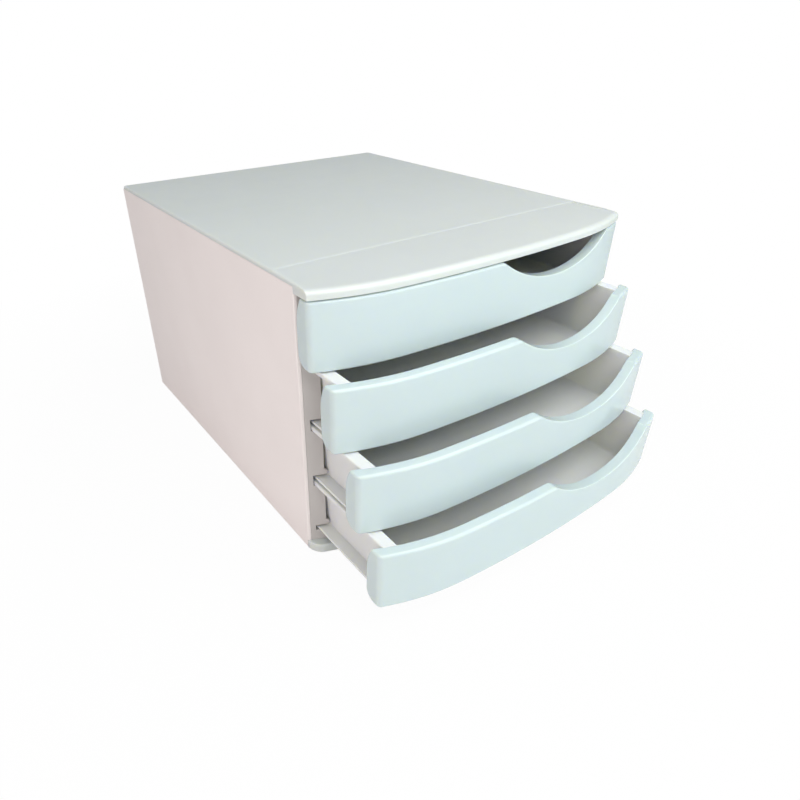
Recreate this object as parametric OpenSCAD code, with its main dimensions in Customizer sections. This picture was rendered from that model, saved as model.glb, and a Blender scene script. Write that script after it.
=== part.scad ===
// Desktop box with four drawers: a casing of flat panels with a bowed front, four trays that
// slide in side runners, and four bowed hollow drawer fronts with crescent finger notches.
// Millimetres. X is to the right seen from the front, -Y is the front, +Z is up.
// The origin is on the desk under the middle of the casing.

/* [Casing] */
// Width of the casing over its side panels
case_w = 296; // [270:1:330]
// Depth of the casing from the front edges of its sides to its back
case_d = 330; // [300:1:380]
// Thickness of the side panels
side_t = 2.5; // [2:0.1:3.5]
// Thickness of the back panel
back_t = 3; // [2:0.1:5]
// Distance of the back panel from the rear edges of the sides
back_recess = 2; // [1:0.5:6]
// Thickness of the top panel's plate
top_t = 2.5; // [2:0.1:4]
// Height of the top panel's front lip
top_lip_h = 7; // [5:0.5:12]
// Radius of the top panel's rear corners
top_corner_r = 4; // [1:0.5:8]
// Depth by which the top's front band lies lower than the rest
band_drop = 0.7; // [0.3:0.1:1.2]
// Front-to-back width of that band at the sides
band_w = 46; // [30:1:80]
// Width of the raised strip at each end of the band
band_edge_w = 3; // [2:0.5:8]

/* [Bowed front] */
// Radius of the shallow arc in the middle
bow_r = 1135; // [900:5:2000]
// Radius of the tighter arc at each end
bow_end_r = 205; // [180:5:300]
// Half of the width that the shallow arc covers
bow_flat = 84; // [60:1:110]

/* [Base] */
// Height of the base panel's upper face above the desk
base_top = 8.8; // [7:0.1:12]
// Gap between the desk and the base panel's rim
base_gap = 1; // [0.5:0.1:2]
// Wall thickness of the base panel
base_wall = 2.4; // [1.6:0.1:3]
// Distance of the base lip behind the face of the drawer fronts
base_inset = 7; // [3:0.5:12]
// Radius of the base lip's front corners
base_corner_r = 8; // [3:0.5:12]
// Diameter of a rubber foot
foot_d = 14; // [8:0.5:20]
// Depth of the pocket that holds a foot
foot_pocket = 2; // [1:0.1:3]
// Distance of the feet from the sides
foot_in_x = 26; // [20:1:60]
// Distance of the feet from the front and the rear edges
foot_in_y = 24; // [18:1:60]

/* [Drawer fronts] */
// Height of a drawer front
front_h = 48; // [40:0.5:70]
// Gap between a drawer front and what lies above it
reveal = 0.75; // [0.5:0.05:2]
// Height of the lowest front's lower edge above the desk
first_front_z = 18; // [16:0.1:30]
// Thickness of a drawer front at its ends
front_d = 13.5; // [11:0.5:20]
// Gap between a closed front and the casing behind it
front_gap = 1.2; // [0.4:0.1:2]
// Wall thickness of a drawer front
skin_t = 2.4; // [1.6:0.1:3]
// Depth of the rim along a front's upper edge
front_rim_d = 8; // [7:0.5:10]
// Radius of an end cheek's lower rear corner
cheek_r = 9; // [3:0.5:10]
// How far an end cheek's rear edge leans forward at its top
cheek_lean = 5; // [2:0.5:6]
// Height over which an end cheek's rear edge leans forward
cheek_lean_h = 20; // [10:1:28]
// Depth of the finger notch below the front's upper edge
notch_h = 20.6; // [12:0.1:26]
// Distance of the notch's lowest point to the right of the middle
notch_x = 61; // [0:1:62]
// Radius of the notch
notch_r = 104; // [60:1:110]
// Width of a clip that hooks the front under the tray's floor
clip_w = 12; // [8:1:20]
// Length of a clip behind the front's rim
clip_l = 8; // [6:0.5:14]
// Distance of the outer clips from the middle
clip_x = 90; // [50:1:105]

/* [Drawer trays] */
// Wall thickness of a tray
tray_t = 1.8; // [1.4:0.1:2.4]
// Thickness of a tray's floor and bottom flange
floor_t = 2; // [1.5:0.1:3]
// Distance from the casing's side to the outer edge of the tray's rim
rim_s = 7; // [6.4:0.1:8]
// Width of the tray's top rim
rim_w = 9.2; // [8:0.1:12]
// Height of the lip that hangs from the rim's outer edge
rim_lip_h = 3.2; // [2.6:0.1:7]
// Distance by which the side walls lean in from rim to floor
wall_lean = 3.5; // [1:0.1:5]
// Distance from the casing's side to the bottom flange's outer edge
flange_s = 8.3; // [7.5:0.1:11]
// Height of the tray's underside above its front's lower edge
tray_lift = 1; // [0.8:0.1:2]
// Clear space behind a closed tray
tray_rear_gap = 8; // [3:0.5:30]
// Distance that a drawer travels from closed to its stop
drawer_travel = 250; // [180:5:270]
// Distance that the second drawer stands open
drawer_2_out = 24.5; // [0:0.5:60]
// Distance that the third drawer stands open
drawer_3_out = 51.5; // [0:0.5:90]
// Distance that the fourth drawer stands open
drawer_4_out = 75.5; // [0:0.5:120]

/* [Side runners] */
// Wall thickness of a runner frame
runner_t = 2; // [1.4:0.1:2.6]
// Side clearance between the tray's wall and the runner wall beside it
wall_clear = 0.4; // [0.3:0.05:0.8]
// Side clearance between the tray's rim and the runner
rim_clear = 0.8; // [0.4:0.1:1.2]
// Gap between the rim's lip and the ledge under it
ledge_clear = 0.3; // [0.2:0.05:0.6]
// Free height above the bottom flange
slot_clear = 2; // [1.6:0.1:3]
// Clearance between the tray's wall and the nib that bulges over the bottom flange
nib_clear = 1; // [0.5:0.1:1.6]
// Thickness of the frame's front strip
strip_t = 3; // [2:0.5:5]
// Gap between a stop nub and the flange under it
stop_clear = 0.3; // [0.2:0.05:0.5]
// Length of the stop nubs and tabs along the slot
stop_l = 4; // [2:0.5:8]
// Width of the stop tabs across the slot
tab_w = 2; // [1.5:0.1:3]
// Distance of the stop nubs behind the front edges of the sides
stop_in = 4; // [3:0.5:12]

/* [Screws and pegs] */
// Shank diameter of a casing screw
screw_d = 3; // [2.5:0.1:3.5]
// Head diameter of a casing screw
screw_head_d = 6; // [5:0.1:7]
// Head height of a casing screw
screw_head_h = 2; // [1.5:0.1:2.5]
// Height of plastic left above a casing screw's tip
screw_cover = 2.1; // [1:0.1:3]
// Distance of the casing screws from the front and the rear edges
screw_in_y = 30; // [20:1:60]
// Diameter of the top panel's locating pegs
peg_d = 5; // [3:0.1:6]
// Thickness of the runner frame left under a peg
peg_floor = 0.6; // [0.4:0.1:1]
// Distance of the pegs from the front and the rear edges
peg_in_y = 55; // [40:1:120]

/* [Hidden] */
$fn = 96;

// Fine gaps and overlaps
fit_gap = 0.1;
hole_gap = 0.2;
cut = 1;

// Casing planes
half_w = case_w / 2;
y_front = -case_d / 2;
y_back = case_d / 2;
bays = 4;
pitch = front_h + reveal;
lip_z = first_front_z + bays * pitch;
case_h = lip_z + top_lip_h;
plate_z = case_h - top_t;
back_y = y_back - back_recess - back_t;

// The bow: a shallow arc with a tighter arc on each side, tangent to it
face_y = y_front - front_gap - front_d;
bow_ratio = 1 - bow_end_r / bow_r;
end_cx = bow_ratio * bow_flat;
end_cy = bow_ratio * sqrt(bow_r * bow_r - bow_flat * bow_flat);
end_reach = end_cy + sqrt(pow(bow_end_r, 2) - pow(half_w - end_cx, 2));
bow_cy = face_y + end_reach;
bow_rise = bow_r - end_reach;
bow_back_y = bow_cy - end_cy;
end_angle = asin((half_w - end_cx) / bow_end_r);

// Heights inside one bay, above the lower edge of its drawer front
floor_top = tray_lift + floor_t;
slot_top = floor_top + slot_clear;
ledge_z = front_h - rim_lip_h - ledge_clear;
stop_h = slot_clear - stop_clear;
rim_t = tray_t;
front_wall_top = front_h - skin_t;

// Distances from the side of the casing
web_s = rim_s - rim_clear;
rim_inner_s = rim_s + rim_w;
cheek_w = rim_s - fit_gap;
runner_s = rim_inner_s - tray_t - wall_clear;
lean_rate = wall_lean / (front_h - tray_lift);
nib_r = (wall_clear - nib_clear + lean_rate * (front_h - slot_top)) / (1 + lean_rate);

// Distances behind the bowed face
wall_inset = front_rim_d - hole_gap - tray_t;
lip_inset = wall_inset - 2 * hole_gap;
clip_reach = front_rim_d + clip_l;
clip_t = tray_lift - fit_gap;
clip_hook_l = 3;
clip_xs = [-clip_x, 0, clip_x];

// Tray
tray_back_y = back_y - tray_rear_gap;
nub_y = y_front + stop_in;
tab_y = nub_y + stop_l + drawer_travel;
nub_s = [web_s, flange_s + tab_w];

// Base and screws
base_half_w = half_w - side_t - fit_gap;
base_back_y = back_y + back_t;
foot_h = foot_pocket + base_gap;
foot_xy = [half_w - foot_in_x, case_d / 2 - foot_in_y];
rib_x = half_w / 3;
screw_s = side_t + fit_gap + base_wall + screw_head_d / 2 + hole_gap;
screw_y = case_d / 2 - screw_in_y;
screw_l = first_front_z - base_top + base_wall - screw_cover;
recess_w = screw_d / 3;
recess_depth = screw_head_h / 2;
boss_d = screw_d + 2 * runner_t;
peg_y = case_d / 2 - peg_in_y;
peg_l = top_lip_h - top_t - 2 * hole_gap - peg_floor;

function bay_z(n) = first_front_z + (bays - n) * pitch;
// Where the bowed face lies at a distance x from the middle
function face_at(x) = abs(x) < bow_flat
    ? bow_cy - sqrt(pow(bow_r, 2) - pow(x, 2))
    : bow_back_y - sqrt(pow(bow_end_r, 2) - pow(abs(x) - end_cx, 2));
function drawer_out(n) = [0, drawer_2_out, drawer_3_out, drawer_4_out][n - 1];

// A square corner with its quarter disc missing: what a rounding of radius r takes away
module corner_cut(r) {
    difference() {
        translate([-cut, -cut]) square([r + cut, r + cut]);
        translate([r, r]) circle(r);
    }
}

// Plan of everything behind the bow, set back by inset, as far as bow_back_y
module bow_plan(inset) {
    mid_x = bow_flat * (bow_r - inset) / bow_r;
    front_y = face_y - bow_rise;
    strip_l = bow_back_y - front_y;
    intersection() {
        translate([0, bow_cy]) circle(bow_r - inset, $fn = 360);
        translate([-mid_x, front_y]) square([2 * mid_x, strip_l]);
    }
    for (side = [0, 1]) mirror([side, 0]) intersection() {
        translate([end_cx, bow_back_y]) circle(bow_end_r - inset, $fn = 360);
        translate([mid_x - cut, front_y]) square([half_w - mid_x + cut, strip_l]);
    }
}

// Keeps a shape only where it lies between two distances from both sides of the casing
module at_both_sides(from, to) {
    for (side = [0, 1]) intersection() {
        children();
        mirror([side, 0, 0]) translate([-half_w + from, face_y - 2 * bow_rise, -cut])
            cube([to - from, case_d + 4 * bow_rise, case_h + 2 * cut]);
    }
}

// Puts a section drawn as (distance from the side, height) on the left or the right side,
// running from y_a back to y_b
module side_section(side, y_a, y_b) {
    mirror([side, 0, 0]) translate([-half_w, y_b, 0]) rotate([90, 0, 0])
        linear_extrude(y_b - y_a) children();
}

// A wall between two distances behind the bowed face, from height 0 to h
module bow_wall(from, to, h) {
    linear_extrude(h) difference() {
        bow_plan(from);
        bow_plan(to);
    }
}

// Space of the finger notch, widened by some distance all round
module notch_space(wider) {
    translate([notch_x, face_y + 2 * front_d, front_h - notch_h + notch_r]) rotate([90, 0, 0])
        cylinder(r = notch_r + wider, h = bow_rise + 3 * front_d, $fn = 360);
}

// Casing ------------------------------------------------------------------------------------

// Outline of the top's plate
module top_outline() {
    difference() {
        union() {
            bow_plan(0);
            translate([-half_w, bow_back_y - cut]) square([case_w, y_back - bow_back_y + cut]);
        }
        for (side = [0, 1]) mirror([side, 0])
            translate([half_w, y_back]) rotate(180) corner_cut(top_corner_r);
    }
}

// Top panel: a plate with a front lip, short side returns and pegs that sit in the runner frames
module top_panel() {
    lip_h = top_lip_h - top_t / 2;
    color("gainsboro") difference() {
        union() {
            translate([0, 0, plate_z]) linear_extrude(top_t) top_outline();
            translate([0, 0, lip_z]) {
                bow_wall(0, top_t, lip_h);
                at_both_sides(0, side_t) bow_wall(0, front_d + front_gap - fit_gap, lip_h);
            }
            for (side = [-1, 1], row = [-1, 1])
                translate([side * (half_w - screw_s), row * peg_y, plate_z - peg_l])
                    cylinder(d = peg_d, h = peg_l + cut);
        }
        translate([-half_w + band_edge_w, face_y - 2 * bow_rise, case_h - band_drop])
            cube([case_w - 2 * band_edge_w, 2 * bow_rise + band_w, cut]);
    }
}

// Side panel: a flat plate whose front edge follows the bow
module side_panel(side) {
    color("mistyrose") intersection() {
        side_section(side, face_y, y_back)
            translate([0, base_gap]) square([side_t, plate_z - base_gap]);
        linear_extrude(case_h) union() {
            bow_plan(front_d + front_gap);
            translate([-half_w, bow_back_y - cut]) square([case_w, case_d]);
        }
    }
}

// Back panel: a plate between the side panels
module back_panel() {
    color("silver") translate([-half_w + side_t, back_y, base_top])
        cube([case_w - 2 * side_t, back_t, plate_z - base_top]);
}

// Outline of the base lip in front of the sides, its corners rounded between the bow and the sides
module base_lip_outline() {
    corner = [half_w - base_corner_r,
        bow_back_y - sqrt(pow(bow_end_r - base_inset - base_corner_r, 2)
            - pow(half_w - base_corner_r - end_cx, 2))];
    turn = atan2(corner[0] - end_cx, bow_back_y - corner[1]);
    reach = 3 * base_corner_r;
    difference() {
        intersection() {
            bow_plan(base_inset);
            translate([-half_w, face_y - bow_rise]) square([case_w, y_front - face_y + bow_rise]);
        }
        for (side = [0, 1]) mirror([side, 0]) difference() {
            polygon([corner, corner + reach * [sin(turn), -cos(turn)],
                corner + [reach, -reach], corner + [reach, 0]]);
            translate(corner) circle(base_corner_r);
        }
    }
}

// Outline of the hollow under the base panel's plate
module base_hollow_outline() {
    hollow_half_w = base_half_w - base_wall;
    intersection() {
        union() {
            bow_plan(base_inset + base_wall);
            translate([-half_w, bow_back_y - cut]) square([case_w, case_d]);
        }
        translate([-hollow_half_w, face_y - bow_rise])
            square([2 * hollow_half_w, base_back_y - base_wall - face_y + bow_rise]);
    }
}

// Base panel: a tray turned upside down, with a lip in front, foot pockets and an upstand
// that closes the gap under the lowest drawer
module base_panel() {
    skirt_h = base_top - base_gap;
    under_h = skirt_h - base_wall;
    color("gainsboro") difference() {
        union() {
            translate([0, 0, base_gap]) linear_extrude(skirt_h) {
                base_lip_outline();
                translate([-base_half_w, y_front - cut])
                    square([2 * base_half_w, base_back_y - y_front + cut]);
            }
            upstand_half_w = half_w - runner_s - fit_gap;
            translate([-upstand_half_w, y_front + strip_t, base_top - cut])
                cube([2 * upstand_half_w, base_wall, first_front_z + hole_gap - base_top + cut]);
        }
        difference() {
            translate([0, 0, base_gap - cut]) linear_extrude(under_h + cut) base_hollow_outline();
            for (x = [-foot_xy[0], foot_xy[0]], y = [-foot_xy[1], foot_xy[1]])
                translate([x, y, 0]) cylinder(d = foot_d + 2 * base_wall, h = base_top);
            for (x = [-rib_x, rib_x])
                translate([x - base_wall / 2, face_y - bow_rise, 0])
                    cube([base_wall, 2 * case_d, base_top]);
            translate([-half_w, -base_wall / 2, 0]) cube([case_w, base_wall, base_top]);
        }
        for (x = [-foot_xy[0], foot_xy[0]], y = [-foot_xy[1], foot_xy[1]])
            translate([x, y, base_gap - cut]) cylinder(d = foot_d, h = foot_pocket + cut);
        at_screws() translate([0, 0, base_gap]) cylinder(d = screw_d + 2 * hole_gap, h = base_top);
    }
}

// Places something at each casing screw
module at_screws() {
    for (x = [-1, 1], y = [-1, 1]) translate([x * (half_w - screw_s), y * screw_y, 0]) children();
}

// Outline of a runner frame against the trays, filled from the side panel inwards
module runner_outline() {
    translate([side_t, base_top]) square([web_s - side_t, plate_z - base_top]);
    translate([side_t, base_top]) square([runner_s - side_t, first_front_z - base_top]);
    translate([side_t, lip_z + hole_gap]) square([runner_s - side_t, plate_z - lip_z - hole_gap]);
    for (n = [1 : bays]) translate([0, bay_z(n)]) {
        translate([side_t, slot_top]) square([runner_s - side_t, ledge_z - slot_top]);
        translate([runner_s, slot_top + nib_r]) circle(nib_r);
    }
}

// The hollow places behind the runner frame's walls, open towards the side panel
module runner_hollows() {
    pocket_w = runner_s - runner_t - side_t + cut;
    for (n = [1 : bays]) translate([side_t - cut, bay_z(n)]) {
        pocket_h = (ledge_z - slot_top - 3 * runner_t) / 2;
        translate([0, slot_top + runner_t]) square([pocket_w, pocket_h]);
        translate([0, slot_top + 2 * runner_t + pocket_h]) square([pocket_w, pocket_h]);
    }
    translate([side_t - cut, base_top + runner_t])
        square([pocket_w, first_front_z - base_top - 2 * runner_t]);
}

// Runner frame: channels for the four drawers behind one front strip
module runner_frame(side) {
    block_h = first_front_z - base_top;
    color("rosybrown") difference() {
        union() {
            side_section(side, y_front + strip_t - cut, back_y) difference() {
                runner_outline();
                runner_hollows();
            }
            intersection() {
                side_section(side, face_y, y_front + strip_t) runner_outline();
                linear_extrude(case_h) bow_plan(front_d + front_gap);
            }
            for (row = [-1, 1]) mirror([side, 0, 0])
                translate([-half_w + screw_s, row * screw_y, base_top])
                    cylinder(d = boss_d, h = block_h - runner_t / 2);
            for (n = [1 : bays]) side_section(side, nub_y, nub_y + stop_l)
                translate([nub_s[0] - cut, bay_z(n) + slot_top - stop_h])
                    square([nub_s[1] - nub_s[0] + cut, stop_h + cut]);
        }
        at_screws() translate([0, 0, base_top - cut])
            cylinder(d = screw_d + fit_gap, h = screw_l - base_wall + fit_gap + cut);
        for (row = [-1, 1]) mirror([side, 0, 0])
            translate([-half_w + screw_s, row * peg_y, plate_z - peg_l - hole_gap])
                cylinder(d = peg_d + hole_gap, h = peg_l + cut);
    }
}

// Screws that hold the base panel to the runner frames, heads underneath
module casing_screws() {
    head_z = base_top - base_wall;
    color("slategray") at_screws() {
        translate([0, 0, head_z]) cylinder(d = screw_d, h = screw_l);
        difference() {
            translate([0, 0, head_z - screw_head_h]) cylinder(d = screw_head_d, h = screw_head_h);
            for (turn = [0, 90]) rotate([0, 0, turn])
                translate([-screw_d / 2, -recess_w / 2, head_z - screw_head_h - cut])
                    cube([screw_d, recess_w, cut + recess_depth]);
        }
    }
}

// Rubber foot in its pocket under the base panel
module foot(x_sign, y_sign) {
    color("dimgray") translate([x_sign * foot_xy[0], y_sign * foot_xy[1], 0])
        cylinder(d = foot_d, h = foot_h);
}

// Drawers -----------------------------------------------------------------------------------

// Puts a drawer part, drawn closed and with its front's lower edge at height 0, in its place
module in_bay(n) {
    translate([0, -drawer_out(n), bay_z(n)]) children();
}

// Trapezoid of the tray's section, its walls leaning in towards the floor
module tray_trapezoid(wall, z_low, z_high) {
    low_x = half_w - rim_inner_s + tray_t - wall - lean_rate * (front_h - z_low);
    high_x = half_w - rim_inner_s + tray_t - wall - lean_rate * (front_h - z_high);
    polygon([[-low_x, z_low], [low_x, z_low], [high_x, z_high], [-high_x, z_high]]);
}

// Section of the tray's walls, floor, flanges and rims
module tray_section() {
    difference() {
        union() {
            tray_trapezoid(0, tray_lift, front_h);
            translate([-half_w + flange_s, tray_lift]) square([case_w - 2 * flange_s, floor_t]);
        }
        tray_trapezoid(tray_t, floor_top, front_h + cut);
    }
    for (side = [0, 1]) mirror([side, 0]) translate([-half_w + rim_s, 0]) {
        translate([0, front_h - rim_t]) square([rim_w - tray_t / 2, rim_t]);
        translate([0, front_h - rim_lip_h]) square([rim_t, rim_lip_h]);
    }
}

module along_y(y_a, y_b) {
    translate([0, y_b, 0]) rotate([90, 0, 0]) linear_extrude(y_b - y_a) children();
}

// Tray of a drawer: closed by a bowed front wall and a flat back wall
module drawer_tray(n) {
    tray_front_y = face_y - bow_rise;
    color("whitesmoke") in_bay(n) difference() {
        union() {
            intersection() {
                along_y(tray_front_y, tray_back_y) tray_section();
                union() {
                    linear_extrude(front_wall_top) bow_plan(wall_inset);
                    linear_extrude(front_h + cut) bow_plan(front_rim_d);
                    translate([-half_w, bow_back_y - cut, 0]) cube([case_w, case_d, front_h + cut]);
                }
            }
            intersection() {
                bow_wall(wall_inset, wall_inset + tray_t, front_wall_top);
                along_y(tray_front_y, y_back) tray_trapezoid(0, tray_lift, front_h);
            }
            along_y(tray_back_y - tray_t, tray_back_y) tray_trapezoid(0, tray_lift, front_h);
            for (side = [0, 1]) side_section(side, tab_y, tab_y + stop_l)
                translate([flange_s, floor_top - cut]) square([tab_w, stop_h + cut]);
        }
        notch_space(skin_t + hole_gap);
        for (x = clip_xs) translate([x, face_at(x), 0]) clip_window();
    }
}

// Opening in the tray's floor for the hook of a front clip
module clip_window() {
    translate([-clip_w / 2 - hole_gap, clip_reach - clip_hook_l - hole_gap, 0])
        cube([clip_w + 2 * hole_gap, clip_hook_l + 2 * hole_gap, floor_top + cut]);
}

// What shapes the rear edge of an end cheek, or of its pocket when shrunk by the wall
module cheek_rounding(shrink) {
    lean_r = (pow(cheek_lean, 2) + pow(cheek_lean_h, 2)) / (2 * cheek_lean);
    for (side = [0, 1], up = [0, 1]) mirror([side, 0, 0])
        translate([-half_w, face_y + front_d, up * front_h]) rotate([0, 0, -end_angle])
            mirror([0, 0, up]) translate([-front_d, -shrink, shrink]) rotate([90, 0, 90])
                linear_extrude(3 * front_d) mirror([1, 0]) {
                    if (up == 0) corner_cut(max(cheek_r - shrink, fit_gap));
                    else difference() {
                        translate([-cut, -cut]) square([cheek_lean + 2 * cut, cheek_lean_h - shrink + cut]);
                        translate([lean_r - shrink, cheek_lean_h - shrink]) circle(lean_r - shrink);
                    }
                }
}

// Pockets that leave the end cheeks hollow, open towards the tray
module cheek_pockets() {
    at_both_sides(skin_t, front_d) difference() {
        translate([0, 0, skin_t]) bow_wall(skin_t, front_d - skin_t, front_h - 2 * skin_t);
        cheek_rounding(skin_t);
    }
}

// Clip: a flat tongue under the tray's floor with a hook that stands in the floor's window
module front_clip() {
    translate([-clip_w / 2, skin_t, 0]) cube([clip_w, clip_reach - skin_t, clip_t]);
    translate([-clip_w / 2, clip_reach - clip_hook_l, 0])
        cube([clip_w, clip_hook_l, floor_top - hole_gap]);
}

// Bowed front of a drawer
module drawer_front(n) {
    color("azure") in_bay(n) {
        difference() {
            union() {
                bow_wall(0, skin_t, front_h);
                translate([0, 0, front_h - skin_t]) bow_wall(0, front_rim_d, skin_t);
                bow_wall(0, lip_inset, skin_t);
                at_both_sides(0, cheek_w) bow_wall(0, front_d, front_h);
                intersection() {
                    bow_wall(0, front_rim_d, front_h);
                    notch_space(skin_t);
                }
            }
            notch_space(0);
            cheek_rounding(0);
            cheek_pockets();
        }
        for (x = clip_xs) translate([x, face_at(x), 0]) front_clip();
    }
}

top_panel();
base_panel();
side_panel(0);  // left_side_panel
side_panel(1);  // right_side_panel
back_panel();
runner_frame(0);  // left_runner_frame
runner_frame(1);  // right_runner_frame
casing_screws();
foot(-1, -1);  // front_left_foot
foot(1, -1);  // front_right_foot
foot(-1, 1);  // rear_left_foot
foot(1, 1);  // rear_right_foot
drawer_tray(1);  // drawer_1_tray
drawer_front(1);  // drawer_1_front
drawer_tray(2);  // drawer_2_tray
drawer_front(2);  // drawer_2_front
drawer_tray(3);  // drawer_3_tray
drawer_front(3);  // drawer_3_front
drawer_tray(4);  // drawer_4_tray
drawer_front(4);  // drawer_4_front
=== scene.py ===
import math

import bmesh
import bpy
from mathutils import Matrix, Vector


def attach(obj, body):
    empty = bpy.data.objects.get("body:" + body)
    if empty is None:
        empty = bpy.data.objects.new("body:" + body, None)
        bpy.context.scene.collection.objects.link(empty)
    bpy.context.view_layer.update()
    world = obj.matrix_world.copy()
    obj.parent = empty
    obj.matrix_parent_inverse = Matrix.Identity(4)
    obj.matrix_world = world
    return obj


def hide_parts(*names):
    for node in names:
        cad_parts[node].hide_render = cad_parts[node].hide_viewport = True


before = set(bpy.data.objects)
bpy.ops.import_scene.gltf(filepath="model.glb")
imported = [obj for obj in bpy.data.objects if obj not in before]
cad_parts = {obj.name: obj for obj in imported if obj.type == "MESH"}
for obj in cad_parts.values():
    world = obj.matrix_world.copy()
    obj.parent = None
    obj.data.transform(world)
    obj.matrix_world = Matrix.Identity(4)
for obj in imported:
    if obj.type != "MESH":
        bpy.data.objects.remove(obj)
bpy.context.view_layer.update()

# Top panel -----------------------------------------------------------------------------------
# The lid of the casing, one injection moulding in glossy polystyrene. Its front edge follows the
# bow of the drawer fronts, turns down in a rounded lip and has a shallow band behind it. Four pegs
# under it sit in the runner frames.

# Every moulding is drawn straight, in millimetres: x across, y the depth behind the bowed face,
# z up. The bow is put in afterwards.


def prism(name, outline, low, high, along="z"):
    """A closed block from an outline drawn across the axis that it runs along."""
    places = {"x": lambda u, v, w: (w, u, v), "y": lambda u, v, w: (u, w, v), "z": lambda u, v, w: (u, v, w)}
    mesh = bmesh.new()
    ends = [[mesh.verts.new(places[along](u, v, w)) for u, v in outline] for w in (low, high)]
    count = len(outline)
    mesh.faces.new(ends[0])
    mesh.faces.new(ends[1])
    for i in range(count):
        mesh.faces.new((ends[0][i], ends[0][(i + 1) % count], ends[1][(i + 1) % count], ends[1][i]))
    bmesh.ops.recalc_face_normals(mesh, faces=mesh.faces)
    data = bpy.data.meshes.new(name)
    mesh.to_mesh(data)
    mesh.free()
    solid = bpy.data.objects.new(name, data)
    bpy.context.scene.collection.objects.link(solid)
    return solid


def block(x, y, z):
    """A rectangular block between two places on each axis."""
    return prism("block", [(x[0], y[0]), (x[1], y[0]), (x[1], y[1]), (x[0], y[1])], z[0], z[1])


def arc(centre, radius, start, end, count=8):
    """Points along an arc, its angles in degrees."""
    angles = [math.radians(start + (end - start) * i / count) for i in range(count + 1)]
    return [(centre[0] + radius * math.cos(a), centre[1] + radius * math.sin(a)) for a in angles]


def rod(x, y, z, radius, count=32):
    """An upright round rod."""
    return prism("rod", arc((x, y), radius, 0, 360, count)[:-1], z[0], z[1])


def settle(piece):
    """Turns what a piece's modifiers make into its plain mesh."""
    bpy.context.view_layer.update()
    depsgraph = bpy.context.evaluated_depsgraph_get()
    mesh = bpy.data.meshes.new_from_object(piece.evaluated_get(depsgraph))
    piece.modifiers.clear()
    piece.data = mesh
    return piece


def combine(operation, piece, others):
    """Joins others to the piece, or cuts them from it, and uses them up."""
    for other in others:
        step = piece.modifiers.new("step", "BOOLEAN")
        step.operation, step.solver, step.object = operation, "EXACT", other
        settle(piece)
        bpy.data.objects.remove(other)
    return piece


def cut_away(piece, *others):
    return combine("DIFFERENCE", piece, others)


def join_on(piece, *others):
    return combine("UNION", piece, others)


def round_edges(piece, radius_of, largest, steps=4):
    """Rounds each edge by the radius that radius_of gives for its two ends, and marks the rounded
    edges in the attribute "edge" for wear."""
    mesh = bmesh.new()
    mesh.from_mesh(piece.data)
    bmesh.ops.remove_doubles(mesh, verts=mesh.verts, dist=0.001)
    bmesh.ops.dissolve_limit(mesh, angle_limit=0.01, verts=mesh.verts, edges=mesh.edges)
    weight = mesh.edges.layers.float.new("bevel_weight_edge")
    for edge in mesh.edges:
        if len(edge.link_faces) == 2 and edge.calc_face_angle() > 0.45:
            a, b = sorted((v.co.copy() for v in edge.verts), key=lambda p: (p.x, p.y, p.z))
            edge[weight] = radius_of(a, b) / largest
    mesh.to_mesh(piece.data)
    mesh.free()
    bevel = piece.modifiers.new("rounding", "BEVEL")
    bevel.limit_method, bevel.width, bevel.segments = "WEIGHT", largest, steps
    bevel.use_clamp_overlap = False
    bevel.miter_outer = "MITER_SHARP"
    settle(piece)
    mesh = bmesh.new()
    mesh.from_mesh(piece.data)
    mark = mesh.faces.layers.float.new("edge")
    for facet in mesh.faces:
        narrow = facet.calc_area() / max(e.calc_length() for e in facet.edges) < 1.25
        facet[mark] = 1.0 if narrow else 0.0
    mesh.to_mesh(piece.data)
    mesh.free()


def slice_across(piece, half, step):
    """Gives a straight moulding the cross lines that let it bend. They stand a little off the
    round numbers, so that none runs along an edge."""
    aside = 0.37
    mesh = bmesh.new()
    mesh.from_mesh(piece.data)
    for i in range(-int(half / step), int(half / step) + 1):
        parts = mesh.verts[:] + mesh.edges[:] + mesh.faces[:]
        bmesh.ops.bisect_plane(mesh, geom=parts, dist=0.0005,
                               plane_co=(i * step + aside, 0, 0), plane_no=(1, 0, 0))
    mesh.to_mesh(piece.data)
    mesh.free()


# half the casing's width, the place of the face's ends from front to back, and the bow in metres
casing_half = 148.0
face_place = -179.7
bow = {"Bow radius": 1.135, "End radius": 0.205, "Shallow half width": 0.084}


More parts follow.
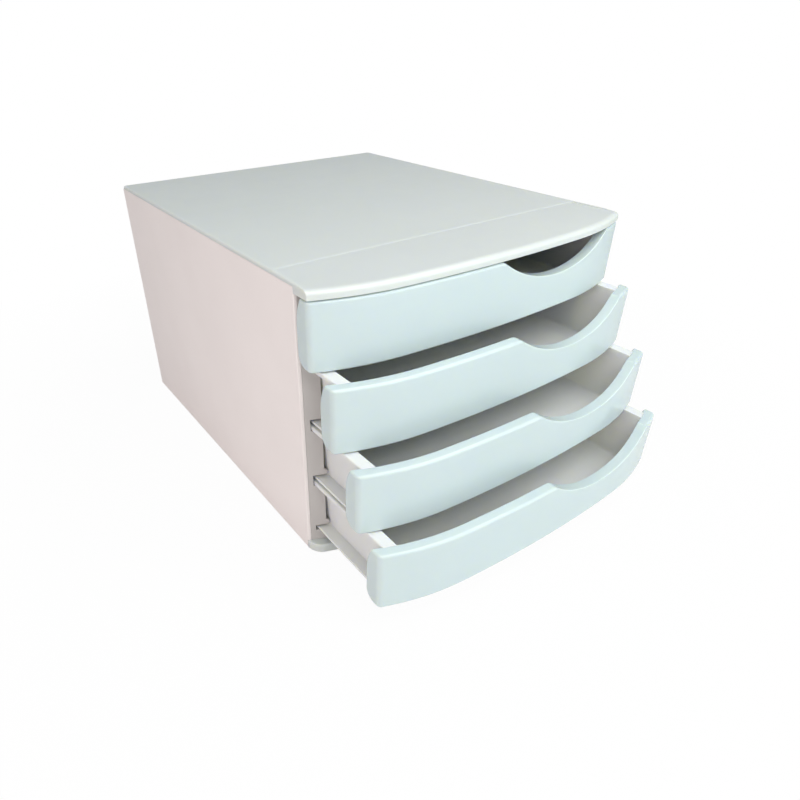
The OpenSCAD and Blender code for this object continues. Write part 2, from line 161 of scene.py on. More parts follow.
def bow_tree():
    """The rule that all bowed mouldings follow: depth behind the face becomes distance behind a
    shallow arc with a tighter arc at each end, and the moulding goes to its place."""
    tree = bpy.data.node_groups.new("bow_along_arcs", "GeometryNodeTree")
    face = tree.interface
    face.new_socket("Moulding", in_out="INPUT", socket_type="NodeSocketGeometry")
    sizes = ["Bow radius", "End radius", "Shallow half width", "End centre", "Bow centre",
             "End centre depth", "Face", "Bow fades from", "Bow fades to", "Drawn out", "Height"]
    for size in sizes:
        face.new_socket(size, in_out="INPUT", socket_type="NodeSocketFloat")
    face.new_socket("Finish", in_out="INPUT", socket_type="NodeSocketMaterial")
    face.new_socket("Moulding", in_out="OUTPUT", socket_type="NodeSocketGeometry")
    given = tree.nodes.new("NodeGroupInput")
    links = tree.links

    def calc(operation, *values):
        node = tree.nodes.new("ShaderNodeMath")
        node.operation = operation
        for i, value in enumerate(values):
            if isinstance(value, (int, float)):
                node.inputs[i].default_value = value
            else:
                links.new(value, node.inputs[i])
        return node.outputs[0]

    place = tree.nodes.new("GeometryNodeInputPosition")
    parts = tree.nodes.new("ShaderNodeSeparateXYZ")
    links.new(place.outputs[0], parts.inputs[0])
    across = calc("ABSOLUTE", parts.outputs[0])
    depth = calc("MINIMUM", parts.outputs[1], given.outputs["Bow fades to"])

    def arc_depth(radius, centre, middle):
        r = calc("SUBTRACT", radius, depth)
        x = calc("SUBTRACT", across, centre)
        under = calc("MAXIMUM", calc("SUBTRACT", calc("MULTIPLY", r, r), calc("MULTIPLY", x, x)), 0.0)
        return calc("SUBTRACT", middle, calc("SQRT", under))

    shallow = arc_depth(given.outputs["Bow radius"], 0.0, given.outputs["Bow centre"])
    tight = arc_depth(given.outputs["End radius"], given.outputs["End centre"],
                      given.outputs["End centre depth"])
    reach = calc("DIVIDE", calc("SUBTRACT", given.outputs["Bow radius"], depth), given.outputs["Bow radius"])
    in_middle = calc("LESS_THAN", across, calc("MULTIPLY", given.outputs["Shallow half width"], reach))
    at_ends = calc("SUBTRACT", 1.0, in_middle)
    bent = calc("ADD", calc("MULTIPLY", in_middle, shallow), calc("MULTIPLY", at_ends, tight))
    straight = calc("ADD", given.outputs["Face"], parts.outputs[1])
    fade = tree.nodes.new("ShaderNodeMapRange")
    fade.interpolation_type = "SMOOTHSTEP"
    links.new(parts.outputs[1], fade.inputs["Value"])
    links.new(given.outputs["Bow fades from"], fade.inputs["From Min"])
    links.new(given.outputs["Bow fades to"], fade.inputs["From Max"])
    fade.inputs["To Min"].default_value, fade.inputs["To Max"].default_value = 1.0, 0.0
    kept = calc("SUBTRACT", 1.0, fade.outputs["Result"])
    y = calc("ADD", calc("MULTIPLY", fade.outputs["Result"], bent), calc("MULTIPLY", kept, straight))
    y = calc("SUBTRACT", y, given.outputs["Drawn out"])
    z = calc("ADD", parts.outputs[2], given.outputs["Height"])
    whole = tree.nodes.new("ShaderNodeCombineXYZ")
    for source, target in ((parts.outputs[0], 0), (y, 1), (z, 2)):
        links.new(source, whole.inputs[target])
    move = tree.nodes.new("GeometryNodeSetPosition")
    links.new(given.outputs["Moulding"], move.inputs["Geometry"])
    links.new(whole.outputs[0], move.inputs["Position"])
    real = tree.nodes.new("GeometryNodeRealizeInstances")
    links.new(move.outputs[0], real.inputs[0])
    finish = tree.nodes.new("GeometryNodeSetMaterial")
    links.new(real.outputs[0], finish.inputs["Geometry"])
    links.new(given.outputs["Finish"], finish.inputs["Material"])
    result = tree.nodes.new("NodeGroupOutput")
    links.new(finish.outputs[0], result.inputs["Moulding"])
    return tree


def set_inputs(modifier, values):
    """Sets a tree's named inputs."""
    for item in modifier.node_group.interface.items_tree:
        if item.item_type == "SOCKET" and item.in_out == "INPUT" and item.name in values:
            modifier[item.identifier] = values[item.name]


follow_bow = bow_tree()
ratio = 1 - bow["End radius"] / bow["Bow radius"]
bow["End centre"] = ratio * bow["Shallow half width"]
end_depth = ratio * math.sqrt(bow["Bow radius"] ** 2 - bow["Shallow half width"] ** 2)
bow["Bow centre"] = face_place / 1000 + end_depth + math.sqrt(
    bow["End radius"] ** 2 - (casing_half / 1000 - bow["End centre"]) ** 2)
bow["End centre depth"] = bow["Bow centre"] - end_depth
bow["Face"] = face_place / 1000
bow["Bow fades from"], bow["Bow fades to"] = 0.018, 0.040


def smooth(piece):
    """Smooth shading that keeps flat faces flat and leaves only real corners sharp."""
    for polygon in piece.data.polygons:
        polygon.use_smooth = True
    piece.data.set_sharp_from_angle(angle=math.radians(35))
    weighted = piece.modifiers.new("flat faces stay flat", "WEIGHTED_NORMAL")
    weighted.keep_sharp = True
    return settle(piece)


def to_metres(piece):
    piece.data.transform(Matrix.Scale(0.001, 4))


def bend(piece, name, material, drawn_out=0.0, height=0.0):
    """Puts a straight moulding into the bow and into its place, as one plain mesh."""
    to_metres(piece)
    piece.name = piece.data.name = name
    step = piece.modifiers.new("bow", "NODES")
    step.node_group = follow_bow
    set_inputs(step, {**bow, "Drawn out": drawn_out / 1000, "Height": height / 1000, "Finish": material})
    settle(piece)
    piece.data.name = name
    return smooth(piece)


def place(piece, name, material):
    """Names a moulding that is already in its place."""
    to_metres(piece)
    piece.name = piece.data.name = name
    piece.data.materials.clear()
    piece.data.materials.append(material)
    smooth(piece)
    piece.data.name = name
    return piece


def shader_group(name, inputs, outputs):
    """An empty node group with its two ends."""
    group = bpy.data.node_groups.new(name, "ShaderNodeTree")
    for label, value in inputs.items():
        kind = "NodeSocketColor" if isinstance(value, tuple) else "NodeSocketFloat"
        group.interface.new_socket(label, in_out="INPUT", socket_type=kind).default_value = value
    for label, kind in outputs.items():
        group.interface.new_socket(label, in_out="OUTPUT", socket_type=kind)
    return group, group.nodes.new("NodeGroupInput"), group.nodes.new("NodeGroupOutput")


def noise(group, scale, detail, source, rough=0.5):
    """Cloudy values from 0 to 1, scale waves to the metre."""
    node = group.nodes.new("ShaderNodeTexNoise")
    node.inputs["Detail"].default_value, node.inputs["Roughness"].default_value = detail, rough
    if isinstance(scale, (int, float)):
        node.inputs["Scale"].default_value = scale
    else:
        group.links.new(scale, node.inputs["Scale"])
    group.links.new(source, node.inputs["Vector"])
    return node.outputs["Fac"]


def remap(group, value, low, high, to_low=0.0, to_high=1.0):
    """Stretches the values between low and high to another range."""
    node = group.nodes.new("ShaderNodeMapRange")
    group.links.new(value, node.inputs["Value"])
    for label, number in (("From Min", low), ("From Max", high), ("To Min", to_low), ("To Max", to_high)):
        node.inputs[label].default_value = number
    return node.outputs["Result"]


def blend_colours(group, mask, first, second):
    """The first colour where the mask is 0, the second where it is 1."""
    node = group.nodes.new("ShaderNodeMix")
    node.data_type = "RGBA"
    for value, socket in ((mask, node.inputs["Factor"]), (first, node.inputs[6]), (second, node.inputs[7])):
        if isinstance(value, tuple):
            socket.default_value = value
        else:
            group.links.new(value, socket)
    return node.outputs[2]


def multiply(group, first, second):
    """The product of two values or sockets."""
    node = group.nodes.new("ShaderNodeMath")
    node.operation = "MULTIPLY"
    for i, value in enumerate((first, second)):
        if isinstance(value, (int, float)):
            node.inputs[i].default_value = value
        else:
            group.links.new(value, node.inputs[i])
    return node.outputs[0]


# What every plastic moulding shows: resin that is not quite even in colour, slow waves where it
# cooled, the fine texture of the tool, a little dust, and corners that hands have polished
plastic, given, result = shader_group(
    "moulded_plastic",
    {"Colour": (0.8, 0.8, 0.8, 1.0), "Uneven": 0.03, "Roughness": 0.3, "Roughness change": 0.08,
     "Grain per metre": 900.0, "Grain height": 0.3, "Wave height": 0.5, "Wear": 0.3},
    {"Colour": "NodeSocketColor", "Roughness": "NodeSocketFloat", "Height": "NodeSocketFloat"})
where = plastic.nodes.new("ShaderNodeTexCoord").outputs["Object"]
slow = noise(plastic, 9.0, 3.0, where)
patches = noise(plastic, 34.0, 4.0, where, 0.6)
grain = noise(plastic, given.outputs["Grain per metre"], 2.0, where, 0.55)
waves = noise(plastic, 60.0, 1.0, where, 0.4)
corner = plastic.nodes.new("ShaderNodeAttribute")
corner.attribute_name = "edge"
rubbed = multiply(plastic, multiply(plastic, corner.outputs["Fac"], remap(plastic, patches, 0.42, 0.62)),
                  given.outputs["Wear"])
darker = plastic.nodes.new("ShaderNodeHueSaturation")
plastic.links.new(given.outputs["Colour"], darker.inputs["Color"])
darker.inputs["Value"].default_value, darker.inputs["Saturation"].default_value = 0.86, 1.15
cloudy = blend_colours(plastic, multiply(plastic, remap(plastic, slow, 0.35, 0.7), given.outputs["Uneven"]),
                       given.outputs["Colour"], darker.outputs["Color"])
specks = remap(plastic, noise(plastic, 420.0, 2.0, where, 0.7), 0.68, 0.74)
dusty = blend_colours(plastic, multiply(plastic, specks, multiply(plastic, given.outputs["Uneven"], 0.4)),
                      cloudy, (0.5, 0.48, 0.44, 1.0))
worn = blend_colours(plastic, multiply(plastic, rubbed, 0.1), dusty, (0.90, 0.91, 0.90, 1.0))
plastic.links.new(worn, result.inputs["Colour"])
spread = plastic.nodes.new("ShaderNodeMath")
spread.operation = "MULTIPLY_ADD"
plastic.links.new(remap(plastic, patches, 0.3, 0.7, -1.0, 1.0), spread.inputs[0])
plastic.links.new(given.outputs["Roughness change"], spread.inputs[1])
plastic.links.new(given.outputs["Roughness"], spread.inputs[2])
polished = plastic.nodes.new("ShaderNodeMath")
polished.operation = "MULTIPLY_ADD"
plastic.links.new(rubbed, polished.inputs[0])
polished.inputs[1].default_value = -0.12
plastic.links.new(spread.outputs[0], polished.inputs[2])
polished.use_clamp = True
plastic.links.new(polished.outputs[0], result.inputs["Roughness"])
relief = plastic.nodes.new("ShaderNodeMath")
relief.operation = "MULTIPLY_ADD"
plastic.links.new(waves, relief.inputs[0])
plastic.links.new(given.outputs["Wave height"], relief.inputs[1])
plastic.links.new(multiply(plastic, grain, given.outputs["Grain height"]), relief.inputs[2])
plastic.links.new(relief.outputs[0], result.inputs["Height"])


def plastic_finish(name, values, coat=0.0, coat_roughness=0.1, bump=0.1, through=0.0):
    """A plastic with its own colour, gloss and texture."""
    material = bpy.data.materials.new(name)
    material.use_nodes = True
    nodes, links = material.node_tree.nodes, material.node_tree.links
    shader = nodes["Principled BSDF"]
    made = nodes.new("ShaderNodeGroup")
    made.node_tree = plastic
    for label, value in values.items():
        made.inputs[label].default_value = value
    lift = nodes.new("ShaderNodeBump")
    lift.inputs["Strength"].default_value = bump
    lift.inputs["Distance"].default_value = 0.0004
    links.new(made.outputs["Height"], lift.inputs["Height"])
    links.new(made.outputs["Colour"], shader.inputs["Base Color"])
    links.new(made.outputs["Roughness"], shader.inputs["Roughness"])
    links.new(lift.outputs["Normal"], shader.inputs["Normal"])
    shader.inputs["Subsurface Weight"].default_value = through
    shader.inputs["Subsurface Radius"].default_value = (1.0, 0.92, 0.5)
    shader.inputs["Subsurface Scale"].default_value = 0.005
    shader.inputs["Coat Weight"].default_value = coat
    shader.inputs["Coat Roughness"].default_value = coat_roughness
    return material


# painted shade: the cover's colour is a darker grey than the white of the trays, standing in for the weaker
# light that falls on the top; the base shares it
cover_finish = plastic_finish(
    "cover_plastic_gloss",
    {"Colour": (0.655, 0.70, 0.685, 1.0), "Uneven": 0.10, "Roughness": 0.34, "Roughness change": 0.04,
     "Grain per metre": 1400.0, "Grain height": 0.12, "Wave height": 0.35, "Wear": 0.5},
    coat=0.2, coat_roughness=0.12, through=0.4)

# heights of the field, of the band before it, of the plate's underside and of the lip's
top_height = 220.0
band_height = 219.3
plate_under = 217.5
lip_under = 213.0
# clear of the part on every side, for cutters
outside = 150.0
above = 222.0
panel_thick = 2.5
panel_front = 14.7
inner_half = casing_half - panel_thick
back_edge = 165.0 - face_place
corner_round = 4.0
rear_corners = arc((casing_half - corner_round, back_edge - corner_round), corner_round, 0, 90)
rear_corners += arc((-casing_half + corner_round, back_edge - corner_round), corner_round, 90, 180)
plan = [(-casing_half, 0.0), (casing_half, 0.0)] + rear_corners
top = prism("top", plan, lip_under, band_height)
# the nose: a quarter of a flat ellipse over a low upright face
nose_deep, nose_high = 4.4, 3.2
nose = [(nose_deep * (1 - math.cos(math.radians(t))),
         band_height + nose_high * (math.sin(math.radians(t)) - 1))
        for t in (0, 4, 8, 13, 18, 24, 30, 37, 45, 53, 62, 71, 80, 90)]
nose += [(nose_deep, above), (-1.0, above), (-1.0, band_height - nose_high)]
cut_away(top, prism("nose", nose, -outside, outside, "x"))
# the hollow between the lip and the panels, and the space over the panels
cut_away(top, block((-inner_half, inner_half), (3.4, 360), (lip_under - 1, plate_under)),
         block((-149, 149), (14.6, 360), (lip_under - 1, plate_under)))


def top_radius(a, b):
    """Only the edges round the lip are rounded."""
    return 0.0 if min(a.z, b.z) > 219 or max(a.y, b.y) > 15 else 0.4


round_edges(top, top_radius, 0.4)
# the raised field behind the band and the strips beside it, one step up; the field begins in a
# slope 3 mm wide, and the strips rise slowly behind the nose
strip, strip_front = 3.0, 4.8
band_end = 44.0
strip_half = casing_half - strip
raised = [(-casing_half, strip_front), (-strip_half, strip_front), (-strip_half, band_end),
          (strip_half, band_end), (strip_half, strip_front), (casing_half, strip_front)]
field = prism("field", raised + rear_corners, band_height - 0.9, top_height)
slope = [(band_end - 1, band_height - 0.233), (band_end + 4, top_height + 0.233),
         (band_end + 4, above), (band_end - 1, above)]
cut_away(field, prism("slope", slope, -strip_half, strip_half, "x"))
fade = [(4, 219.09), (14, 220.09), (14, above), (4, above)]
cut_away(field, prism("fade", fade, -outside, outside, "x"))


def field_radius(a, b):
    """The field's rear edge is softer than the others, its ends and its slope stay as cut."""
    if min(a.z, b.z) < top_height - 0.1:
        return 0.0
    if min(a.y, b.y) > 200:
        return 0.8
    if max(abs(a.x), abs(b.x)) > 147 or 43 < min(a.y, b.y) and max(a.y, b.y) < 48:
        return 0.0
    return 0.35


round_edges(field, field_radius, 0.8)
join_on(top, field)
# the rounding along both ends
end_round = 1.7
edge_half = casing_half - end_round
edge = arc((edge_half, top_height - end_round), end_round, 90, 0, 6)
edge += [(149, top_height - end_round), (149, 221), (edge_half, 221)]
for side in (-1, 1):
    cut_away(top, prism("edge", [(side * x, z) for x, z in edge], -1, back_edge - corner_round, "y"))
peg_half, peg_places = 139.8, (-110 - face_place, 110 - face_place)
join_on(top, *[rod(x, y, (214.0, 218.2), 2.5) for x in (-peg_half, peg_half) for y in peg_places])
slice_across(top, 147, 5.0)
top_panel = bend(top, "top_cover", cover_finish)
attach(top_panel, "casing")
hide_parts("top_panel")

# Drawer fronts -------------------------------------------------------------------------------
# Four bowed hollow fronts from one mould, in high-gloss white plastic. Each has a rim along its
# top, a cheek at each end that covers the runner, and a crescent notch for the fingers. Three
# clips hook it under the floor of its tray.

front_height = 48.0
front_depth = 13.5
skin = 2.4
front_rim = 8.0
notch_centre, notch_radius = (61.0, 131.4), 104.0


def notch_cutter(top_z, deep):
    """The notch with its left end eased into the top edge by a soft rounding and its right end
    left crisp."""
    ease = 9.0
    cx, cz = notch_centre
    # the easing circle lies in the plastic: under the top edge and outside the notch's circle
    ez = top_z - ease
    ex = cx - math.sqrt((notch_radius + ease) ** 2 - (cz - ez) ** 2)
    touch = math.degrees(math.atan2(cz - ez, cx - ex))
    left = math.degrees(math.atan2(ez - cz, ex - cx)) % 360
    right = 360 - math.degrees(math.acos((math.sqrt(notch_radius ** 2 - (top_z - cz) ** 2)) / notch_radius))
    outline = [(ex, top_z)] + arc((ex, ez), ease, 90, touch, 8)[1:]
    outline += arc((cx, cz), notch_radius, left, right, 40)[1:]
    outline += [(outline[-1][0], top_z + 30), (ex, top_z + 30)]
    return prism("notch", outline, -1, deep, "y")


def notch_disc(wider, near, far):
    """The round space of the notch, wider all round, between two depths."""
    r = notch_radius + wider
    side = math.degrees(math.asin((notch_centre[1] - front_height + 1) / r))
    return prism("disc", arc(notch_centre, r, 180 + side, 360 - side, 40), near, far, "y")


def end_profile(inset):
    """An end cheek seen from the side: a round rear corner below, a forward lean above."""
    low, rear, top = 9.0 - inset, front_depth - inset, front_height - inset
    lean, over = 5.0, 20.0
    wide = (lean ** 2 + over ** 2) / (2 * lean)
    high = math.degrees(math.asin((over - inset) / (wide - inset)))
    return ([(inset, inset)] + arc((rear - low, inset + low), low, -90, 0, 10) +
            arc((front_depth - wide, front_height - over), wide - inset, 0, high, 8) + [(inset, top)])


def front_radius(a, b):
    """The face's outline is rounded most at its ends and along its top, least round the notch."""
    level, upright = abs(a.z - b.z) < 0.05, abs(a.z - b.z) > 5 and abs(a.x - b.x) < 0.05
    ends = min(abs(a.x), abs(b.x)) > 147.9
    on_face = max(a.y, b.y) < 0.05
    if ends and on_face and upright:
        return 3.0
    if ends:
        return 1.6
    if on_face and level and min(a.z, b.z) > 47.9:
        return 2.3
    if on_face and level and max(a.z, b.z) < 0.05:
        return 2.0
    if on_face:
        low = min(a.z, b.z)
        eased = a.x < 12 and low > 40
        return 0.5 + (1.8 * max(0.0, (low - 44.5) / 3.5) if eased else 0.0)
    if min(a.y, b.y) > 2.3 and max(abs(a.x), abs(b.x)) < 145.7 and max(a.z, b.z) < 45.7:
        return 0.0
    return 0.4


# painted cool light: the fronts' colour carries a blue-green tint that stands in for the cool light from the
# front, on plastic that is white
front_finish = plastic_finish(
    "front_plastic_gloss",
    {"Colour": (0.58, 0.685, 0.695, 1.0), "Uneven": 0.12, "Roughness": 0.21, "Roughness change": 0.04,
     "Grain per metre": 1600.0, "Grain height": 0.15, "Wave height": 0.3, "Wear": 0.5},
    coat=0.25, coat_roughness=0.08, through=0.5)

cheek_half = 141.1
between = (-cheek_half, cheek_half)
shell = prism("shell", end_profile(0), -casing_half, casing_half, "x")
cut_away(shell, block(between, (skin, 16), (skin, front_height - skin)),
         block(between, (front_rim, 16), (front_height - skin - 1, 50)),
         block(between, (5.6, 16), (-1, skin + 1)))
cut_away(shell, *[prism("pocket", end_profile(skin), side * 138.0, side * 145.6, "x") for side in (-1, 1)])
join_on(shell, notch_disc(skin, 1.0, front_rim - 0.01))
cut_away(shell, notch_cutter(front_height, 20))
round_edges(shell, front_radius, 3.0)
slice_across(shell, 147, 4.0)
clips, clip_places = [], (-90.0, 0.0, 90.0)
for x in clip_places:
    tongue = block((x - 6, x + 6), (2.2, 16), (0.05, 0.9))
    hook = block((x - 6, x + 6), (13, 16), (0.5, 2.8))
    clips.append(join_on(tongue, hook))
join_on(shell, *clips)

# the drawers from the top down: the height of each bay, and how far each stands open
bay_heights = {1: 164.25, 2: 115.5, 3: 66.75, 4: 18.0}
drawn_out = {1: 0.0, 2: 24.5, 3: 51.5, 4: 75.5}
for n in (1, 2, 3, 4):
    piece = shell.copy()
    piece.data = shell.data.copy()
    bpy.context.scene.collection.objects.link(piece)
    bend(piece, "drawer_%d_front_moulding" % n, front_finish, drawn_out[n], bay_heights[n])
    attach(piece, "drawer_%d" % n)
    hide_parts("drawer_%d_front" % n)
bpy.data.objects.remove(shell)

# Drawer trays --------------------------------------------------------------------------------
# Deep trays moulded in one piece from plain white plastic: leaning side walls, a rim on each side
# that hangs over the runner, a flange along the floor that slides in the runner's slot, and a
# bowed inner wall that the front clips over.

tray_deep = 152.0 - face_place
wall = 1.8


def wall_place(z):
    """How far out a leaning side wall stands at a height."""
    return 133.6 - 3.5 / 47 * (48 - z)


tray_finish = plastic_finish(
    "tray_plastic",
    {"Colour": (0.78, 0.80, 0.79, 1.0), "Uneven": 0.2, "Roughness": 0.36, "Roughness change": 0.07,
     "Grain per metre": 1000.0, "Grain height": 0.4, "Wave height": 0.8, "Wear": 0.6},
    coat=0.1, coat_roughness=0.2, through=0.5)

half_section = [(139.7, 1), (139.7, 3), (wall_place(3), 3), (wall_place(46.2), 46.2),
                (139.2, 46.2), (139.2, 44.8), (141, 44.8), (141, 48)]
section = half_section + [(-x, z) for x, z in reversed(half_section)]
tray = prism("tray", section, 6.0, tray_deep, "y")
inner_low, inner_high = wall_place(3) - wall, wall_place(49) - wall
cavity = prism("cavity", [(-inner_low, 3), (inner_low, 3), (inner_high, 49), (-inner_high, 49)],
               7.8, tray_deep - wall, "y")
cut_away(tray, block((-142, 142), (5, 8), (45.6, 50)), cavity)
cut_away(tray, notch_disc(skin + 0.2, 1.0, 20.0))
cut_away(tray, *[block((x - 6.2, x + 6.2), (12.8, 16.2), (-1, 4)) for x in clip_places])


def tray_radius(a, b):
    """Wide roundings inside, where the mould draws the walls, and small ones round the rim."""
    inside = max(abs(a.x), abs(b.x)) < 132 and min(a.y, b.y) > 7.7 and max(a.y, b.y) < tray_deep - 1
    if inside and abs(a.z - b.z) > 20:
        return 3.0
    if inside and max(a.z, b.z) < 3.1 and (abs(a.y - b.y) > 30 or abs(a.x - b.x) > 30):
        return 2.0
    if min(a.z, b.z) > 47.9 and min(abs(a.x), abs(b.x)) > 140.9:
        return 0.9
    if min(a.z, b.z) > 47.9:
        return 0.5
    outer = max(abs(a.x), abs(b.x)) > 129
    return 0.25 if outer or (min(a.z, b.z) > 45.5 and max(a.y, b.y) < 8.1) else 0.0


round_edges(tray, tray_radius, 3.0)
# the stop tabs on the flanges
join_on(tray, *[block(x, (272.7, 276.7), (2.5, 4.7)) for x in ((-139.6, -137.7), (137.7, 139.6))])
slice_across(tray, 135, 5.0)
for n in (1, 2, 3, 4):
    piece = tray.copy()
    piece.data = tray.data.copy()
    bpy.context.scene.collection.objects.link(piece)
    bend(piece, "drawer_%d_tray_moulding" % n, tray_finish, drawn_out[n], bay_heights[n])
    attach(piece, "drawer_%d" % n)
    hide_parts("drawer_%d_tray" % n)
bpy.data.objects.remove(tray)

# Base panel ----------------------------------------------------------------------------------
# A shallow moulding turned upside down, with a lip in front that follows the bow a little behind
# the drawers. Ribs stiffen it, four round pockets hold the feet, and an upstand closes the gap
# under the lowest drawer.

base_top, base_low, base_wall = 8.8, 1.0, 2.4
behind = 163.0 - face_place
corner = 8.0
plan = arc((-140, 15), corner, 180, 270) + arc((140, 15), corner, 270, 360)
plan += [(148, 15.4), (145.4, 15.4), (145.4, behind), (-145.4, behind), (-145.4, 15.4), (-148, 15.4)]
base = prism("base", plan, base_low, base_top)
hollow = [(-143, 9.4), (143, 9.4), (143, behind - base_wall), (-143, behind - base_wall)]
cut_away(base, prism("hollow", hollow, -1, base_top - base_wall))
join_on(base, block((-133.9, 133.9), (17.7, 20.1), (base_top - 1, 18.2)))


def base_radius(a, b):
    """Only the lip in front of the casing is rounded."""
    if min(a.y, b.y) > 14.9:
        return 0.0
    if min(a.z, b.z) > base_top - 0.1 and max(a.y, b.y) < 15.5:
        return 1.2
    return 0.5 if min(a.z, b.z) > base_top - 0.1 or max(a.y, b.y) < 15.5 else 0.0


round_edges(base, base_radius, 1.2)
foot_places = [(sx * 122.0, sy * 141.0 - face_place) for sx in (-1, 1) for sy in (-1, 1)]
join_on(base, *[rod(x, y, (base_low + 0.1, base_top - 1), 9.4) for x, y in foot_places])
rib = 1.2
join_on(base, *[block((x - rib, x + rib), (7.9, behind - 1), (base_low + 0.7, base_top - 1.1))
                for x in (-49.33, 49.33)])
join_on(base, block((-144, 144), (-face_place - rib, -face_place + rib), (base_low + 0.2, base_top - 1.2)))
cut_away(base, *[rod(x, y, (base_low - 1, base_low + 2), 7.0) for x, y in foot_places])
cut_away(base, *[rod(sx * 139.8, sy * 135 - face_place, (0, 10), 1.7) for sx in (-1, 1) for sy in (-1, 1)])
slice_across(base, 147, 5.0)
base_panel = bend(base, "base_moulding", cover_finish)
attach(base_panel, "casing")
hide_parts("base_panel")

# Side and back panels ------------------------------------------------------------------------
# Flat sheets of plain high-impact plastic with a fine tool texture. The sides stand outside the
# runner frames, under the edges of the top, and the back panel sits between them.

# painted warm light: the panels' colour carries a pink tint that stands in for the warm light from the left,
# on plastic that is white
panel_finish = plastic_finish(
    "panel_plastic_fine_texture",
    {"Colour": (0.90, 0.85, 0.835, 1.0), "Uneven": 0.3, "Roughness": 0.42, "Roughness change": 0.07,
     "Grain per metre": 2200.0, "Grain height": 0.8, "Wave height": 0.4, "Wear": 0.4}, bump=0.15)

panel_high = 217.45
for side, label in ((-1, "left"), (1, "right")):
    low, high = sorted((side * inner_half, side * casing_half))
    panel = block((low, high), (panel_front, back_edge), (base_low, panel_high))
    round_edges(panel, lambda a, b: 0.6, 0.6, 3)
    bend(panel, label + "_side_sheet", panel_finish)
    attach(panel, "casing")
    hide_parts(label + "_side_panel")

back = block((-inner_half, inner_half), (160, 163), (base_top, panel_high))
round_edges(back, lambda a, b: 0.5, 0.5, 3)
back_sheet = place(back, "back_sheet", panel_finish)
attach(back_sheet, "casing")
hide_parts("back_panel")

# Runner frames -------------------------------------------------------------------------------
# One grey-white frame on each side carries all four trays. Each bay has a shoulder under the
# tray's rim, a slot for its bottom flange with a rounded nib over it, and a stop nub. A plain
# strip closes the frame in front.

runner_finish = plastic_finish(
    "runner_plastic",
    {"Colour": (0.55, 0.53, 0.515, 1.0), "Uneven": 0.25, "Roughness": 0.38, "Roughness change": 0.08,
     "Grain per metre": 1300.0, "Grain height": 0.5, "Wave height": 0.6, "Wear": 0.5})


def runner_slab(side, inward, y, z):
    """A block on one side, between two distances inward from the casing's outside."""
    x = sorted((side * (casing_half - inward[0]), side * (casing_half - inward[1])))
    return block(x, y, z)


for side, label in ((-1, "left"), (1, "right")):
    rear = 160.0 - face_place
    length, thick, shoulder = (panel_front, rear), (panel_thick, 6.2), (panel_thick, 14.0)
    body = runner_slab(side, thick, length, (base_top, plate_under))
    parts = [runner_slab(side, shoulder, length, (base_top, 18.0)),
             runner_slab(side, shoulder, length, (213.2, plate_under))]
    for z in bay_heights.values():
        parts.append(runner_slab(side, shoulder, length, (z + 5.0, z + 44.5)))
        nib = arc((side * (casing_half - 14.0), z + 7.42), 2.42, 0, 360, 24)[:-1]
        parts.append(prism("nib", nib, panel_front, rear, "y"))
        parts.append(runner_slab(side, (5.2, 10.3), (18.7, 22.7), (z + 3.3, z + 5.5)))
    join_on(body, *parts)
    # the mouldings are hollow from outside and from behind, with a web in the middle of each bay
    inner, open_length = (1.5, 12.0), (17.7, rear + 1)
    hollows = [runner_slab(side, inner, open_length, (z + low, z + low + 16.75))
               for z in bay_heights.values() for low in (7.0, 25.75)]
    hollows.append(runner_slab(side, inner, open_length, (10.8, 16.0)))
    cut_away(body, *hollows)
    round_edges(body, lambda a, b: 0.45 if max(a.y, b.y) < 40 and min(a.z, b.z) > base_top + 0.1 else 0.0,
                0.45, 3)
    bend(body, label + "_runner_moulding", runner_finish)
    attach(body, "casing")
    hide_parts(label + "_runner_frame")

# Rubber feet ---------------------------------------------------------------------------------
# Four black-grey rubber discs pressed into the pockets under the base, each with a rounded rim
# and a ring groove on its sole.


def repeat_tree(name):
    """Puts one shape at points, turned as each point asks, and makes it real."""
    tree = bpy.data.node_groups.new(name, "GeometryNodeTree")
    for label, kind in (("Points", "Geometry"), ("Shape", "Object"), ("Size", "Float"),
                        ("Turn spread", "Float"), ("Seed", "Int"), ("Finish", "Material")):
        tree.interface.new_socket(label, in_out="INPUT", socket_type="NodeSocket" + kind)
    tree.interface.new_socket("Pieces", in_out="OUTPUT", socket_type="NodeSocketGeometry")
    given = tree.nodes.new("NodeGroupInput")
    shape = tree.nodes.new("GeometryNodeObjectInfo")
    points = tree.nodes.new("GeometryNodeMeshToPoints")
    instances = tree.nodes.new("GeometryNodeInstanceOnPoints")
    turn = tree.nodes.new("FunctionNodeRandomValue")
    turn.data_type = "FLOAT"
    turns = tree.nodes.new("ShaderNodeCombineXYZ")
    real = tree.nodes.new("GeometryNodeRealizeInstances")
    finish = tree.nodes.new("GeometryNodeSetMaterial")
    result = tree.nodes.new("NodeGroupOutput")
    link = tree.links.new
    link(given.outputs["Points"], points.inputs["Mesh"])
    link(points.outputs[0], instances.inputs["Points"])
    link(given.outputs["Shape"], shape.inputs["Object"])
    link(shape.outputs["Geometry"], instances.inputs["Instance"])
    link(given.outputs["Size"], instances.inputs["Scale"])
    link(given.outputs["Turn spread"], turn.inputs[3])
    link(given.outputs["Seed"], turn.inputs["Seed"])
    link(turn.outputs[1], turns.inputs[2])
    link(turns.outputs[0], instances.inputs["Rotation"])
    link(instances.outputs[0], real.inputs[0])
    link(real.outputs[0], finish.inputs["Geometry"])
    link(given.outputs["Finish"], finish.inputs["Material"])
    link(finish.outputs[0], result.inputs["Pieces"])
    return tree


repeat_at_points = repeat_tree("repeat_at_points")


